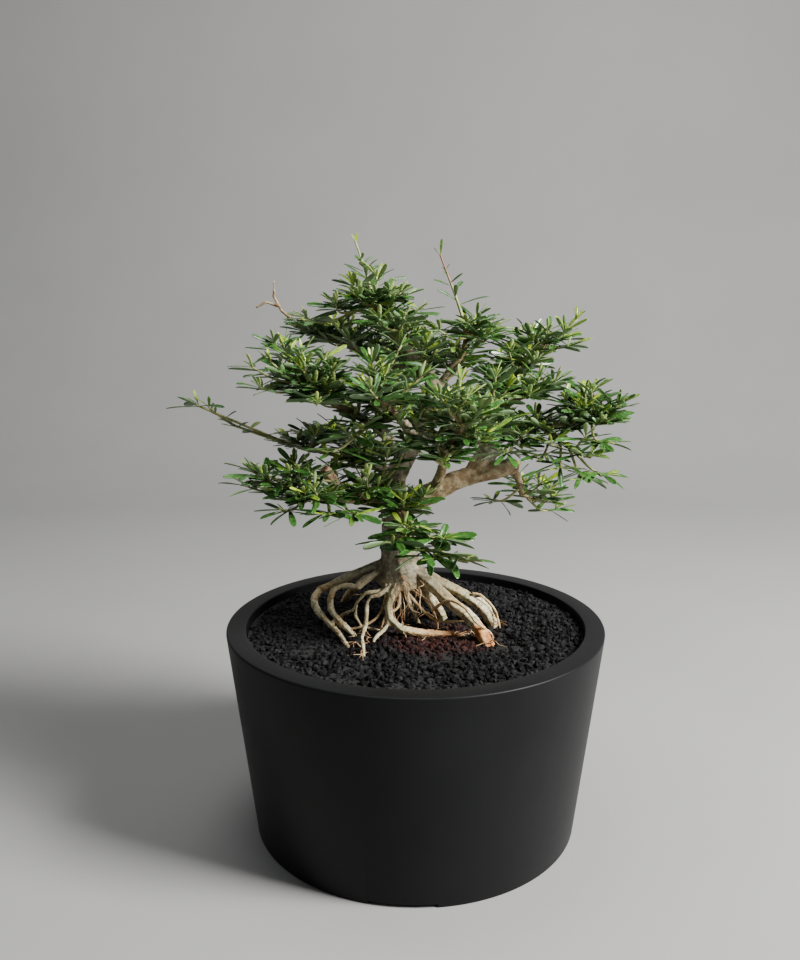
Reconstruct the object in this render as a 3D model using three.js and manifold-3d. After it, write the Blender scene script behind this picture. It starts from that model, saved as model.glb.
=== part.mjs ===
// A small bonsai tree in a round black pot, in millimetres with +Z up.
// The origin is the middle of the pot's foot, on the surface that the pot stands on.
import * as THREE from "three";
import { ConvexGeometry } from "three/addons/geometries/ConvexGeometry.js";
import { mergeVertices } from "three/addons/utils/BufferGeometryUtils.js";
import Module from "manifold-3d";

const wasm = await Module();
wasm.setup();

// Driving dimensions

const clearance = 0.3; // between two pieces that touch

const pot = {
  height: 111,
  rimRadius: 100, // outside, at the lip
  footRadius: 86.7, // outside, at the foot
  rimWidth: 10.4, // the flat ring on top
  wall: 9, // at the foot
  floor: 10,
  lipBevel: 1.2,
  sides: 54,
};

const drain = {
  count: 3,
  firstAngle: -94.6, // degrees round the axis, where -90 is the front
  channelWidth: 33, // each channel lets water out under the foot
  channelHeight: 2,
  channelStart: 24, // from the axis to its inner end
  holeRadius: 8,
  holeOffset: 45, // from the axis to the middle of each hole
  screenSize: 24, // the square plastic screen laid over each hole
  screenThickness: 1.2,
  windowSize: 5,
  windows: 2, // in each direction
};

const soil = {
  belowRim: 4.5, // at the wall
  dome: 0.8, // how much higher the middle is
};

const tree = {
  height: 201, // from the soil to the tip of the leader
  thickness: 1, // multiplies every radius of the wood
  twigRadius: 0.95,
  stemRadius: 0.75, // a green shoot at its twig
  stemTipRadius: 0.5,
  greenLength: 12, // the leafy end of a common twig
};

const leaf = {
  length: 17,
  width: 3.7,
  thickness: 0.9,
  widestAt: 0.62, // share of its length, from the stem
  count: 9, // on a common shoot
};

// The tree's points below are drawn for this height, from the middle of the soil's top.
const drawnHeight = 201;
const treeScale = tree.height / drawnHeight;
const soilTop = pot.height - soil.belowRim + soil.dome;

// Each root and limb is a line of points with a radius at each end, or at several even steps.
// The first point of a limb is moved onto the limb that it grows from.

const trunk = { name: "trunk", sides: 8, radii: [13.5, 11.5, 9.6, 8.6, 7.8, 7.2, 6.6],
  points: [[-6, 9, 22], [-7, 8, 34], [-10, 8, 46], [-11, 9, 58], [-10, 9, 70], [-12, 10, 82]] };

const limbs = [
  { name: "leader", on: "trunk", sides: 6, radii: [6.6, 5.6, 5, 4.4, 3.6, 2.6, 1.5],
    points: [[-12, 10, 78], [-5, 15, 91], [5, 19, 104], [12, 21, 118], [7, 19, 133], [-6, 14, 148], [-16, 9, 161], [-21, 6, 170]] },
  { name: "right_limb", on: "trunk", sides: 7, radii: [6.8, 6.2, 5.4, 4.8, 4.2],
    points: [[-9, 8, 62], [5, 6, 70], [21, 6, 78], [37, 10, 82], [54, 14, 85]] },
  { name: "riser", on: "right_limb", sides: 5, radii: [4.6, 6, 5.4, 4, 3, 2.2, 1.5],
    points: [[29, 8, 80], [37, 13, 90], [42, 20, 101], [43, 28, 113], [50, 36, 125], [60, 41, 138], [72, 41, 147]] },
  { name: "far_right_limb", on: "riser", sides: 5, radii: [3.2, 2.6, 2, 1.5],
    points: [[40, 18, 98], [51, 14, 106], [64, 9, 108], [78, 4, 108], [90, 1, 111]] },
  { name: "low_right_limb", on: "far_right_limb", sides: 5, radii: [1.8, 1.3],
    points: [[66, 8, 108], [72, -1, 103], [77, -8, 99]] },
  { name: "middle_right_limb", on: "riser", sides: 5, radii: [2.6, 2, 1.4],
    points: [[43, 26, 110], [50, 18, 118], [58, 11, 123]] },
  { name: "whip_limb", on: "leader", sides: 5, radii: [3.4, 2.4, 1.6, 1.2],
    points: [[5, 21, 119], [16, 22, 132], [26, 20, 144], [27, 19, 154]] },
  { name: "low_left_limb", on: "trunk", sides: 5, radii: [5, 4.4, 3.8, 2.8, 1.8],
    points: [[-10, 8, 70], [-22, -3, 72], [-36, -14, 74], [-50, -22, 75], [-60, -27, 79]] },
  { name: "pruned_stub", on: "low_left_limb", sides: 5, radii: [3.4, 3.2, 3],
    points: [[-36, -14, 74], [-41, -19, 83], [-45, -22, 90]] },
  { name: "long_left_limb", on: "trunk", sides: 5, radii: [3, 2.3, 1.6, 1.2],
    points: [[-12, 10, 81], [-26, 6, 89], [-42, 0, 94], [-56, -4, 97]] },
  { name: "middle_left_limb", on: "leader", sides: 5, radii: [3.4, 2.8, 2.2, 1.5],
    points: [[-8, 14, 91], [-18, 0, 106], [-32, -12, 117], [-48, -20, 126]] },
  { name: "high_left_limb", on: "leader", sides: 5, radii: [3.4, 2.6, 2, 1.4],
    points: [[3, 20, 128], [-12, 24, 138], [-30, 26, 146], [-46, 27, 152]] },
  { name: "thorn_twig", on: "high_left_limb", sides: 5, radii: [1.3, 0.9, 0.6],
    points: [[-42, 27, 151], [-58, 31, 157], [-74, 32, 170], [-75, 32, 182]] },
  { name: "thorn_arm", on: "thorn_twig", sides: 5, radii: [0.8, 0.6],
    points: [[-73, 32, 169], [-79, 32, 171], [-85, 32, 168]] },
  { name: "front_limb", on: "leader", sides: 5, radii: [3.2, 2.5, 1.5],
    points: [[-3, 16, 100], [-7, -4, 112], [-12, -22, 119], [-15, -33, 124]] },
  { name: "front_right_limb", on: "right_limb", sides: 5, radii: [3, 2.4, 1.5],
    points: [[9, 6, 72], [14, -10, 89], [15, -22, 102], [23, -31, 112]] },
  { name: "low_front_limb", on: "trunk", sides: 5, radii: [2.4, 1.9, 1.4],
    points: [[-10, 8, 68], [-8, -8, 66], [-2, -17, 61]] },
  { name: "back_limb", on: "leader", sides: 5, radii: [3.6, 2.8, 1.6],
    points: [[-1, 18, 103], [5, 36, 105], [12, 54, 106]] },
  { name: "high_back_limb", on: "leader", sides: 5, radii: [3, 2.3, 1.5],
    points: [[3, 20, 128], [-4, 38, 133], [-14, 58, 136]] },
  { name: "hanging_limb", on: "right_limb", sides: 5, radii: [2.6, 2, 1.5],
    points: [[52, 14, 84], [57, 19, 75], [59, 25, 67]] },
];

// The exposed roots leave the trunk's foot and arch down into the soil.
const roots = [
  { radii: [2.8, 2.7, 2.4, 1.8, 1.3], points: [[-16, 8, 34], [-30, 10, 27], [-45, 14, 19], [-53, 15, 15],
    [-55, 9, 12], [-52, -1, 9], [-47, -10, 7], [-40, -20, 4], [-34, -29, -1], [-30, -34, -14]] },
  { radii: [2.4, 2.2, 2.2, 1.9], points: [[-14, 5, 32], [-23, 4, 27], [-32, 2, 21], [-38, 3, 22], [-43, 2, 21],
    [-45, -2, 17], [-44, -9, 12], [-39, -14, 7], [-32, -15, 1], [-25, -14, -13]] },
  { radii: [1.7, 1.5, 1.3, 1.1], points: [[-9, 3, 26], [-17, 0, 20], [-25, -5, 21], [-30, -7, 18], [-31, -6, 13],
    [-35, -3, 9], [-42, 3, 4], [-50, 8, -8]] },
  { radii: [1.4, 1.2, 1.1], points: [[-31, -7, 15], [-31, -12, 8], [-27, -13, 4], [-18, -8, 1], [-10, -2, -9]] },
  { radii: [1.7, 1.6, 1.5, 1.3], points: [[-10, 2, 26], [-18, -6, 20], [-24, -15, 21], [-25, -23, 18],
    [-25, -30, 13], [-27, -37, 7], [-26, -41, 0], [-25, -44, -12]] },
  { radii: [2.6, 2.5, 2.5, 2.2, 1.7], points: [[-6, 3, 28], [-11, -4, 21], [-14, -10, 16], [-13, -15, 9],
    [-8, -17, 5], [0, -16, 2.6], [10, -15, 1.2], [20, -14, 0.6], [27, -12, -3], [33, -8, -13]] },
  { radii: [1.5, 1.3, 1], points: [[-13, -15, 8], [-18, -20, 3.5], [-22, -24, 1], [-24, -28, -9]] },
  { radii: [1.9, 1.8, 1.6, 1.5], points: [[-6, 4, 28], [-5, -2, 20], [-2, -3, 12], [1, 1, 4], [4, 6, -12]] },
  { radii: [3, 2.8, 2.6], points: [[-3, 5, 28], [3, 2, 21], [9, 2, 14], [14, 7, 5], [19, 13, -12]] },
  { radii: [4, 3.8, 3.6, 3.6, 3.9, 4.1], points: [[-3, 6, 32], [6, 0, 26], [13, -6, 21], [20, -12, 16], [27, -17, 12],
    [33, -22, 6], [37, -26, -1], [41, -31, -13]] },
  { radii: [3.6, 3.4, 3.2, 3.2, 3], points: [[-1, 9, 31], [8, 9, 24], [18, 7, 20], [26, 6, 16], [34, 4, 11],
    [41, 1, 3], [46, -3, -12]] },
  { radii: [1.5, 1.3, 1.2], points: [[30, 6, 13], [37, 8, 12], [42, 6, 6], [45, 6, -2], [48, 7, -11]] },
  { radii: [3.4, 3, 2.6], points: [[-7, 13, 30], [-3, 24, 22], [4, 36, 12], [10, 46, 2], [14, 53, -12]] },
  { radii: [3.2, 2.6, 2.2], points: [[-14, 13, 30], [-22, 24, 22], [-32, 34, 12], [-40, 42, 1], [-46, 48, -12]] },
  { radii: [2.8, 2.4, 2], points: [[-1, 12, 30], [13, 20, 20], [26, 30, 10], [36, 38, 1], [42, 44, -12]] },
];
const rootSides = 5;

// Each leafy shoot: the limb that carries it and the middle of its last whorl of leaves.
// Its other values, where they aren't the common ones, follow.
const shoots = [
  { name: "leader_whip", on: "leader", tip: [-30, 2, 201], bend: [-24, 5, 183], green: 29, leaves: 11, leafed: [0.14, 0.6] },
  { name: "crown_right", on: "leader", tip: [-12, -2, 173] },
  { name: "crown_front", on: "leader", tip: [-6, -13, 163] },
  { name: "crown_left", on: "leader", tip: [-38, 6, 168] },
  { name: "crown_back", on: "leader", tip: [-18, 33, 169] },
  { name: "crown_middle", on: "leader", tip: [6, 3, 151] },
  { name: "right_whip", on: "whip_limb", tip: [13, 18, 195], bend: [24, 19, 166], green: 40, leaves: 9, leafed: [0.14, 0.75] },
  { name: "whip_side", on: "whip_limb", tip: [36, 10, 153] },
  { name: "whip_back", on: "whip_limb", tip: [34, 42, 148] },
  { name: "high_left_end", on: "high_left_limb", tip: [-60, 22, 157] },
  { name: "high_left_back", on: "high_left_limb", tip: [-46, 47, 156] },
  { name: "high_left_front", on: "high_left_limb", tip: [-34, 8, 152] },
  { name: "middle_left_end", on: "middle_left_limb", tip: [-66, -22, 139], leaves: 11 },
  { name: "middle_left_high", on: "middle_left_limb", tip: [-66, -4, 149], leaves: 11 },
  { name: "middle_left_front", on: "middle_left_limb", tip: [-47, -36, 124], leaves: 11 },
  { name: "middle_left_top", on: "middle_left_limb", tip: [-40, -22, 138] },
  { name: "middle_left_inner", on: "middle_left_limb", tip: [-27, -30, 111] },
  { name: "front_end", on: "front_limb", tip: [-20, -50, 130], leaves: 12 },
  { name: "front_high", on: "front_limb", tip: [-21, -34, 143], leaves: 11 },
  { name: "front_centre", on: "front_limb", tip: [2, -34, 136], leaves: 11 },
  { name: "front_right_end", on: "front_right_limb", tip: [30, -41, 122], leaves: 12 },
  { name: "front_right_high", on: "front_right_limb", tip: [11, -46, 128], leaves: 11 },
  { name: "front_right_low", on: "front_right_limb", tip: [14, -32, 95], leaves: 10 },
  { name: "front_right_side", on: "front_right_limb", tip: [38, -16, 108] },
  { name: "riser_end", on: "riser", tip: [84, 42, 156] },
  { name: "riser_high", on: "riser", tip: [64, 38, 153] },
  { name: "riser_side", on: "riser", tip: [65, 24, 140] },
  { name: "riser_back", on: "riser", tip: [50, 58, 136] },
  { name: "riser_front", on: "riser", tip: [40, -8, 134] },
  { name: "riser_low_back", on: "riser", tip: [48, 52, 108] },
  { name: "middle_right_end", on: "middle_right_limb", tip: [72, 6, 130] },
  { name: "middle_right_front", on: "middle_right_limb", tip: [57, -6, 124] },
  { name: "far_right_end", on: "far_right_limb", tip: [104, -2, 119], leaves: 11 },
  { name: "far_right_high", on: "far_right_limb", tip: [90, 14, 123], leaves: 10 },
  { name: "far_right_front", on: "far_right_limb", tip: [93, -14, 111], leaves: 11 },
  { name: "far_right_back", on: "far_right_limb", tip: [72, 30, 104] },
  { name: "far_right_low", on: "far_right_limb", tip: [54, -7, 98] },
  { name: "low_right_end", on: "low_right_limb", tip: [86, -19, 95], leaves: 12 },
  { name: "low_left_end", on: "low_left_limb", tip: [-74, -34, 89], leaves: 12, droop: 0.35 },
  { name: "low_left_high", on: "low_left_limb", tip: [-60, -22, 92], leaves: 10 },
  { name: "low_left_front", on: "low_left_limb", tip: [-48, -41, 82], leaves: 11, droop: 0.35 },
  { name: "low_left_inner", on: "low_left_limb", tip: [-24, -28, 84], leaves: 11, droop: 0.5 },
  { name: "long_left_end", on: "long_left_limb", tip: [-109, -11, 128], bend: [-98, -9, 114], green: 50,
    leaves: 12, leafed: [0.14, 0.75] },
  { name: "long_left_front", on: "long_left_limb", tip: [-50, -17, 106], leaves: 10 },
  { name: "long_left_inner", on: "long_left_limb", tip: [-30, -9, 99] },
  { name: "long_left_back", on: "long_left_limb", tip: [-44, 21, 103] },
  { name: "low_front_end", on: "low_front_limb", tip: [9, -28, 53], leaves: 12 },
  { name: "low_front_high", on: "low_front_limb", tip: [4, -14, 74], leaves: 8 },
  { name: "back_end", on: "back_limb", tip: [16, 72, 111], leaves: 11 },
  { name: "back_left", on: "back_limb", tip: [-14, 54, 108], leaves: 10 },
  { name: "back_right", on: "back_limb", tip: [30, 46, 118] },
  { name: "high_back_end", on: "high_back_limb", tip: [-20, 74, 141], leaves: 11 },
  { name: "high_back_right", on: "high_back_limb", tip: [8, 54, 145], leaves: 10 },
  { name: "hanging_end", on: "hanging_limb", tip: [78, 36, 60], leaves: 7, green: 9 },
];

// Materials

const finish = (color, roughness) => new THREE.MeshStandardMaterial({ color, roughness, metalness: 0 });
const potMaterial = finish(0x1d1e20, 0.5);
const screenMaterial = finish(0x2b2b2a, 0.6);
const soilMaterial = finish(0x17171a, 0.95);
const woodMaterial = finish(0xa3957c, 0.85);
const leafMaterial = finish(0x2f5a2a, 0.4);

// Solids

const { Manifold, Mesh: SolidMesh } = wasm;

function solidOf(geometry) {
  geometry.deleteAttribute("normal");
  geometry.deleteAttribute("uv");
  const merged = mergeVertices(geometry, 1e-3);
  const vertProperties = new Float32Array(merged.getAttribute("position").array);
  const triVerts = new Uint32Array(merged.index.array);
  return new Manifold(new SolidMesh({ numProp: 3, vertProperties, triVerts }));
}

function meshOf(name, solid, material) {
  const made = solid.getMesh();
  const geometry = new THREE.BufferGeometry();
  geometry.setAttribute("position", new THREE.BufferAttribute(made.vertProperties, 3));
  geometry.setIndex(new THREE.BufferAttribute(made.triVerts, 1));
  geometry.computeVertexNormals();
  const mesh = new THREE.Mesh(geometry, material);
  mesh.name = name;
  return mesh;
}

const joined = (solids) => solids.reduce((whole, part) => whole.add(part));

// A body turned round the Z axis from a profile of [radius, height] points.
function turned(profile, sides) {
  const points = profile.map(([radius, height]) => new THREE.Vector2(radius, height));
  return solidOf(new THREE.LatheGeometry(points, sides).rotateX(Math.PI / 2));
}

const block = (x, y, z) => new THREE.BoxGeometry(x, y, z);

// Pot, screens and soil

const wallRadiusAt = (height) =>
  THREE.MathUtils.mapLinear(height, pot.floor, pot.height, pot.footRadius - pot.wall, pot.rimRadius - pot.rimWidth);

const drainAngles = Array.from({ length: drain.count }, (_, i) =>
  THREE.MathUtils.degToRad(drain.firstAngle + (i * 360) / drain.count));

function makePot() {
  const outerSlope = (pot.rimRadius - pot.footRadius) / pot.height;
  const shell = turned([
    [0, 0],
    [pot.footRadius, 0],
    [pot.rimRadius - outerSlope * pot.lipBevel, pot.height - pot.lipBevel],
    [pot.rimRadius - pot.lipBevel, pot.height],
    [pot.rimRadius - pot.rimWidth, pot.height],
    [wallRadiusAt(pot.floor), pot.floor],
    [0, pot.floor],
  ], pot.sides);
  const cuts = drainAngles.flatMap((angle) => {
    const length = pot.footRadius + 10 - drain.channelStart; // runs out past the foot
    const channel = block(length, drain.channelWidth, 2 * drain.channelHeight);
    channel.translate(drain.channelStart + length / 2, 0, 0).rotateZ(angle);
    const hole = new THREE.CylinderGeometry(drain.holeRadius, drain.holeRadius, 4 * pot.floor, 20);
    hole.rotateX(Math.PI / 2).translate(drain.holeOffset, 0, 0).rotateZ(angle);
    return [solidOf(channel), solidOf(hole)];
  });
  return shell.subtract(joined(cuts));
}

function makeScreen(angle) {
  const place = (geometry, x, y) =>
    geometry.translate(drain.holeOffset + x, y, pot.floor + clearance + drain.screenThickness / 2).rotateZ(angle);
  const plate = solidOf(place(block(drain.screenSize, drain.screenSize, drain.screenThickness), 0, 0));
  const pitch = drain.screenSize / (drain.windows + 1);
  const windows = [];
  for (let row = 0; row < drain.windows; row += 1) {
    for (let column = 0; column < drain.windows; column += 1) {
      const x = (row - (drain.windows - 1) / 2) * pitch;
      const y = (column - (drain.windows - 1) / 2) * pitch;
      windows.push(solidOf(place(block(drain.windowSize, drain.windowSize, 3 * drain.screenThickness), x, y)));
    }
  }
  return plate.subtract(joined(windows));
}

// The soil fills the pot and closes round the screens and the buried ends of the roots.
function makeSoil(rootSockets) {
  const edge = pot.height - soil.belowRim;
  const foot = pot.floor + clearance;
  const body = turned([
    [0, foot],
    [wallRadiusAt(foot) - clearance, foot],
    [wallRadiusAt(edge) - clearance, edge],
    [wallRadiusAt(edge) * 0.6, edge + soil.dome * 0.7],
    [0, edge + soil.dome],
  ], pot.sides);
  const roomForScreens = drainAngles.map((angle) => {
    const size = drain.screenSize + 2 * clearance;
    const room = block(size, size, 2 * (drain.screenThickness + clearance));
    return solidOf(room.translate(drain.holeOffset, 0, foot).rotateZ(angle));
  });
  return body.subtract(joined(roomForScreens)).subtract(rootSockets);
}

// Wood

const drawn = ([x, y, z]) => new THREE.Vector3(x, y, z).multiplyScalar(treeScale).add(new THREE.Vector3(0, 0, soilTop));

const smoothLine = (points) => new THREE.CatmullRomCurve3(points, false, "centripetal");

// The value at a share of the way along a list of evenly spaced values.
function alongList(values, share) {
  const place = share * (values.length - 1);
  const before = Math.min(Math.floor(place), values.length - 2);
  return THREE.MathUtils.lerp(values[before], values[before + 1], place - before);
}

// A closed tube along a line: an extruded unit circle whose rings are then opened to their own radii.
function tube(line, radii, sides, stepLength) {
  const steps = Math.max(2, Math.round(line.getLength() / stepLength));
  const corners = Array.from({ length: sides }, (_, i) => {
    const angle = (2 * Math.PI * i) / sides;
    return new THREE.Vector2(Math.cos(angle), Math.sin(angle));
  });
  const geometry = new THREE.ExtrudeGeometry(new THREE.Shape(corners), { steps, extrudePath: line });
  const centres = line.getSpacedPoints(steps);
  const position = geometry.getAttribute("position");
  const vertex = new THREE.Vector3();
  for (let i = 0; i < position.count; i += 1) {
    vertex.fromBufferAttribute(position, i);
    const distances = centres.map((centre) => centre.distanceToSquared(vertex));
    const ring = distances.indexOf(Math.min(...distances));
    vertex.sub(centres[ring]).multiplyScalar(alongList(radii, ring / steps)).add(centres[ring]);
    position.setXYZ(i, vertex.x, vertex.y, vertex.z);
  }
  return solidOf(geometry);
}

// The share of the way along a line at which it comes nearest to a point.
function nearestShare(line, point) {
  const checks = 60;
  const distances = line.getSpacedPoints(checks).map((place) => place.distanceTo(point));
  return distances.indexOf(Math.min(...distances)) / checks;
}

const lines = new Map();

function limbSolid({ name, on, points, radii, sides }) {
  const places = points.map(drawn);
  if (on) {
    const parent = lines.get(on);
    places[0] = parent.getPointAt(nearestShare(parent, places[0]));
  }
  const line = smoothLine(places);
  lines.set(name, line);
  const stepLength = Math.max(9, 1.3 * radii[0]) * treeScale;
  return tube(line, radii.map((radius) => radius * tree.thickness), sides, stepLength);
}

// With room above zero this makes the socket that the root needs in the soil.
function rootSolid({ points, radii }, room) {
  const places = points.map(drawn);
  const last = places.length - 1;
  const onward = places[last].clone().sub(places[last - 1]).setLength(room);
  places[last].add(onward);
  return tube(smoothLine(places), radii.map((radius) => radius * tree.thickness + room), rootSides, 7 * treeScale);
}

// A shoot's line leaves its limb at a slant and bends up to its tip. The last part of it is green.
function shootLine({ on, tip, bend }) {
  const limb = lines.get(on);
  const end = drawn(tip);
  const aim = bend ? drawn(bend) : end;
  const nearest = nearestShare(limb, aim);
  const slant = (0.6 * limb.getPointAt(nearest).distanceTo(aim)) / limb.getLength();
  const start = limb.getPointAt(nearest > 0.97 ? 1 : Math.max(0.1, nearest - slant));
  const sag = new THREE.Vector3(0, 0, -0.06 * start.distanceTo(end));
  const middle = bend ? aim : start.clone().lerp(end, 0.5).add(sag);
  return smoothLine([start, middle, end]);
}

// The stretch of a line between two shares of its length.
const stretch = (line, from, to) =>
  smoothLine([0, 0.25, 0.5, 0.75, 1].map((share) => line.getPointAt(THREE.MathUtils.lerp(from, to, share))));

function splitShoot(shoot) {
  const line = shootLine(shoot);
  const length = line.getLength();
  const green = Math.min(shoot.green ?? tree.greenLength, 0.75 * length);
  const seat = 1 - green / length;
  return {
    twig: stretch(line, 0, seat),
    stem: stretch(line, seat + clearance / length, 1),
  };
}

// Leaves

const goldenAngle = THREE.MathUtils.degToRad(137.5);
const leafedShare = [0.15, 0.97]; // the part of a common shoot that bears leaves
const up = new THREE.Vector3(0, 0, 1);

// One leaf: a thin keeled blade from its foot on the stem along its aim. Its edges stand over its midrib.
function leafSolid(foot, aim, length) {
  const across = up.clone().cross(aim).setLength(leaf.width / 2);
  const upper = aim.clone().cross(across).setLength(leaf.thickness);
  const tip = foot.clone().addScaledVector(aim, length);
  const widest = foot.clone().addScaledVector(aim, length * leaf.widestAt).add(upper);
  const left = widest.clone().add(across);
  const right = widest.clone().sub(across);
  return solidOf(new ConvexGeometry([foot, tip, left, right]));
}

// Leaves stand round the stem by the golden angle and lie nearly level. The lowest are the longest.
function leafPlace(shoot, stem, index, count, turn) {
  const share = index / (count - 1);
  const along = THREE.MathUtils.lerp(...(shoot.leafed ?? leafedShare), share);
  const foot = stem.getPointAt(along);
  const angle = index * goldenAngle + turn;
  const lift = 0.12 + 0.5 * share ** 3 - (shoot.droop ?? 0) * (1 - share);
  const aim = new THREE.Vector3(Math.cos(angle), Math.sin(angle), lift);
  aim.addScaledVector(stem.getTangentAt(along), 0.35).normalize();
  return { foot, aim, length: leaf.length * (1 - 0.25 * share ** 2) };
}

const boxesNear = (a, b) => [0, 1, 2].every((i) =>
  a.min[i] - clearance < b.max[i] && b.min[i] - clearance < a.max[i]);

function isClear(solid, neighbours) {
  const box = solid.boundingBox();
  return neighbours.every((other) => !boxesNear(box, other.box) || solid.minGap(other.solid, clearance) >= clearance);
}

// A leaf that would touch a neighbour turns a little round its stem, and one that finds no room is left out.
function growLeaves(shoot, stem, neighbours) {
  const count = shoot.leaves ?? leaf.count;
  const turns = [0, 0.25, -0.25, 0.5, -0.5, 0.8, -0.8, 1.2, -1.2];
  const leaves = [];
  for (let index = 0; index < count; index += 1) {
    for (const turn of turns) {
      const { foot, aim, length } = leafPlace(shoot, stem, index, count, turn);
      const solid = leafSolid(foot, aim, length);
      if (isClear(solid, neighbours)) {
        leaves.push(solid);
        break;
      }
    }
  }
  return leaves;
}

// Assembly

const withBox = (solid) => ({ solid, box: solid.boundingBox() });

const wood = [limbSolid(trunk), ...limbs.map(limbSolid), ...roots.map((root) => rootSolid(root, 0))];
const stems = shoots.map((shoot) => {
  const { twig, stem } = splitShoot(shoot);
  wood.push(tube(twig, [tree.twigRadius * 1.25, tree.twigRadius], 4, 16));
  return { shoot, stem, solid: tube(stem, [tree.stemRadius, tree.stemTipRadius], 4, 10) };
});
const treeWood = joined(wood);
const potSolid = makePot();
const soilSolid = makeSoil(joined(roots.map((root) => rootSolid(root, clearance))));

const bonsai = new THREE.Group();
bonsai.add(meshOf("pot", potSolid, potMaterial));
drainAngles.forEach((angle, i) => bonsai.add(meshOf(`drain_screen_${i + 1}`, makeScreen(angle), screenMaterial)));
bonsai.add(meshOf("soil", soilSolid, soilMaterial));
bonsai.add(meshOf("tree_wood", treeWood, woodMaterial));

const grown = [potSolid, soilSolid, treeWood, ...stems.map(({ solid }) => solid)].map(withBox);
stems.forEach(({ shoot, stem, solid }) => {
  const neighbours = grown.filter((other) => other.solid !== solid);
  const leaves = growLeaves(shoot, stem, neighbours);
  grown.push(...leaves.map(withBox));
  bonsai.add(meshOf(`shoot_${shoot.name}`, joined([solid, ...leaves]), leafMaterial));
});

export default bonsai;
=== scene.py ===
import math

import bmesh
import bpy
import numpy as np
from mathutils import Matrix, Vector, noise
from mathutils.bvhtree import BVHTree


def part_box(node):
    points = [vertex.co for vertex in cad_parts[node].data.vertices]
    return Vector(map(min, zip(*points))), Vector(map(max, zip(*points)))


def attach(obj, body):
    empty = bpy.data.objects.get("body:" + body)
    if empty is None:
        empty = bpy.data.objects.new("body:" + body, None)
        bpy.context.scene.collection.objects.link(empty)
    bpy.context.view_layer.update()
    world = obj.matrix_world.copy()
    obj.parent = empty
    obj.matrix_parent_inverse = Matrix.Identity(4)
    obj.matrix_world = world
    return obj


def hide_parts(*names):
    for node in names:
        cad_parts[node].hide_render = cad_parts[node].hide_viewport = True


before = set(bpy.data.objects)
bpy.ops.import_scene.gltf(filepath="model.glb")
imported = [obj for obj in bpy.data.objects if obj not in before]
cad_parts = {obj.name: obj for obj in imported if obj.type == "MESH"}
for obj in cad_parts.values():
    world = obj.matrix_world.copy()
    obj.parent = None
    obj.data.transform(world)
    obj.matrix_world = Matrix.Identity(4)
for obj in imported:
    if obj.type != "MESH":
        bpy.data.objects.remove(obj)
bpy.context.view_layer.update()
mm = 0.001
up = Vector((0, 0, 1))


# a value in the shader maths: sums, differences and products add their own Math nodes
class Value:
    def __init__(self, finish, socket):
        self.finish = finish
        self.socket = socket

    def maths(self, operation, first, second):
        return self.finish.add("ShaderNodeMath", {"operation": operation}, {0: first, 1: second})

    def __add__(self, other):
        return self.maths("ADD", self, other)

    def __sub__(self, other):
        return self.maths("SUBTRACT", self, other)

    def __rsub__(self, other):
        return self.maths("SUBTRACT", other, self)

    def __mul__(self, other):
        return self.maths("MULTIPLY", self, other)

    __radd__ = __add__
    __rmul__ = __mul__


# a material and the nodes that feed its one shader
class Finish:
    def __init__(self, name, **fixed):
        self.material = bpy.data.materials.new(name)
        self.material.use_nodes = True
        self.tree = self.material.node_tree
        self.tree.nodes.clear()
        self.shader = self.tree.nodes.new("ShaderNodeBsdfPrincipled")
        output = self.tree.nodes.new("ShaderNodeOutputMaterial")
        self.tree.links.new(self.shader.outputs[0], output.inputs[0])
        for socket, value in fixed.items():
            self.shader.inputs[socket.replace("_", " ")].default_value = value

    def fill(self, socket, value):
        if isinstance(value, Value):
            self.tree.links.new(value.socket, socket)
        else:
            socket.default_value = value

    def add(self, kind, settings=None, values=None, output=0):
        node = self.tree.nodes.new(kind)
        for name, setting in (settings or {}).items():
            setattr(node, name, setting)
        for name, value in (values or {}).items():
            self.fill(node.inputs[name], value)
        return Value(self, node.outputs[output])

    def set(self, socket, value):
        self.fill(self.shader.inputs[socket], value)

    def place(self):
        return self.add("ShaderNodeTexCoord", output="Object")

    # one channel of a colour painted on the corners of a mesh
    def painted(self, name, channel):
        colour = self.add("ShaderNodeAttribute", {"attribute_name": name}, output="Color")
        return self.add("ShaderNodeSeparateColor", None, {0: colour}, output=channel)

    def noise(self, scale, detail=3):
        values = {"Vector": self.place(), "Scale": scale, "Detail": detail, "Roughness": 0.55}
        return self.add("ShaderNodeTexNoise", None, values)

    def cells(self, scale):
        return self.add("ShaderNodeTexVoronoi", None, {"Vector": self.place(), "Scale": scale})

    # 0 below low, 1 above high, smooth between
    def step(self, value, low, high):
        values = {"Value": value, "From Min": low, "From Max": high}
        return self.add("ShaderNodeMapRange", {"interpolation_type": "SMOOTHSTEP"}, values)

    def mixed(self, share, first, second):
        first = first if isinstance(first, Value) else (*first, 1)
        second = second if isinstance(second, Value) else (*second, 1)
        return self.add("ShaderNodeMix", {"data_type": "RGBA"}, {0: share, 6: first, 7: second}, output=2)

    def bump(self, height, distance, strength=1.0):
        values = {"Height": height, "Distance": distance, "Strength": strength}
        self.set("Normal", self.add("ShaderNodeBump", None, values))


def newPiece(name, vertices, faces, material, smooth=True):
    mesh = bpy.data.meshes.new(name)
    mesh.from_pydata(vertices, [], faces)
    mesh.validate()
    mesh.polygons.foreach_set("use_smooth", [smooth] * len(mesh.polygons))
    piece = bpy.data.objects.new(name, mesh)
    bpy.context.scene.collection.objects.link(piece)
    mesh.materials.append(material)
    return piece


# a piece of the tree or the pot, set on the root body, and the imported nodes that it stands for, which are
# hidden
def place(piece, slot, *nodes):
    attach(piece, "root")
    if nodes:
        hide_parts(*nodes)


# gives a piece the mesh that its modifiers make
def applyModifiers(piece):
    graph = bpy.context.evaluated_depsgraph_get()
    made = bpy.data.meshes.new_from_object(piece.evaluated_get(graph))
    piece.modifiers.clear()
    piece.data = made


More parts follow.
